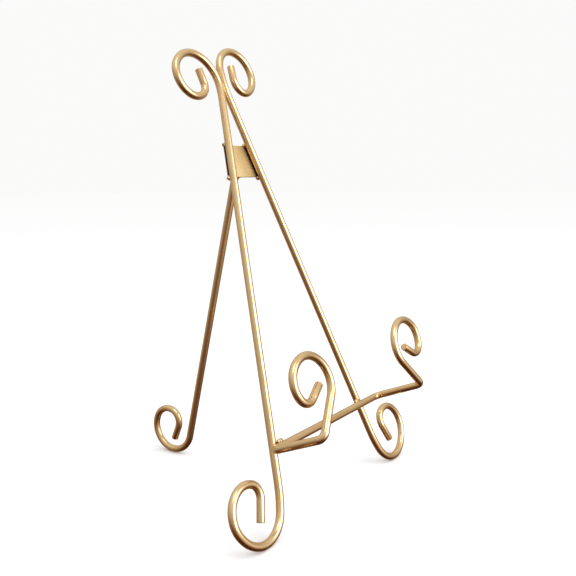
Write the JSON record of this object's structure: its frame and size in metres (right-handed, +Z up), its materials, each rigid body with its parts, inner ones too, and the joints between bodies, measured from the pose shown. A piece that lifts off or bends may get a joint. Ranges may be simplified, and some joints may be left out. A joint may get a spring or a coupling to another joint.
{
  "type": "photo album stand",
  "caption": "Folding wire display stand for a photo album: a leaning front frame with scrolled ends, a shelf with scrolled hooks, and a hinged rear leg.",
  "frame": {"origin": "on the ground, under the centre of the open stand's bounding box", "axes": "+X to the right of a person facing the front, +Y away from them towards the rear leg, +Z up"},
  "size_m": [0.2092, 0.1922, 0.296],
  "materials": {
    "wire": "satin pale gold finish on steel wire",
    "plate": "satin pale gold finish on sheet steel",
    "pin": "gold finish, slightly darker",
    "weld": "gold finish over weld filler"
  },
  "bodies": {
    "front_frame": {"front_rod_left": "wire", "front_rod_right": "wire", "shelf_wire": "wire", "hinge_plate": "plate", "hinge_bracket": "plate", "hinge_pin": "pin", "plate_bead_lower_left": "weld", "plate_bead_upper_left": "weld", "shelf_bead_left": "weld", "plate_bead_lower_right": "weld", "plate_bead_upper_right": "weld", "shelf_bead_right": "weld"},
    "rear_leg": {"rear_leg": "wire"}
  },
  "joints": [
    {"name": "rear_leg_fold", "type": "hinge", "parent": "front_frame", "child": "rear_leg", "pos_m": [-0.00023, 0.01245, 0.20971], "axis": [-1, 0, 0], "range_deg": [0, 35.5]}
  ]
}
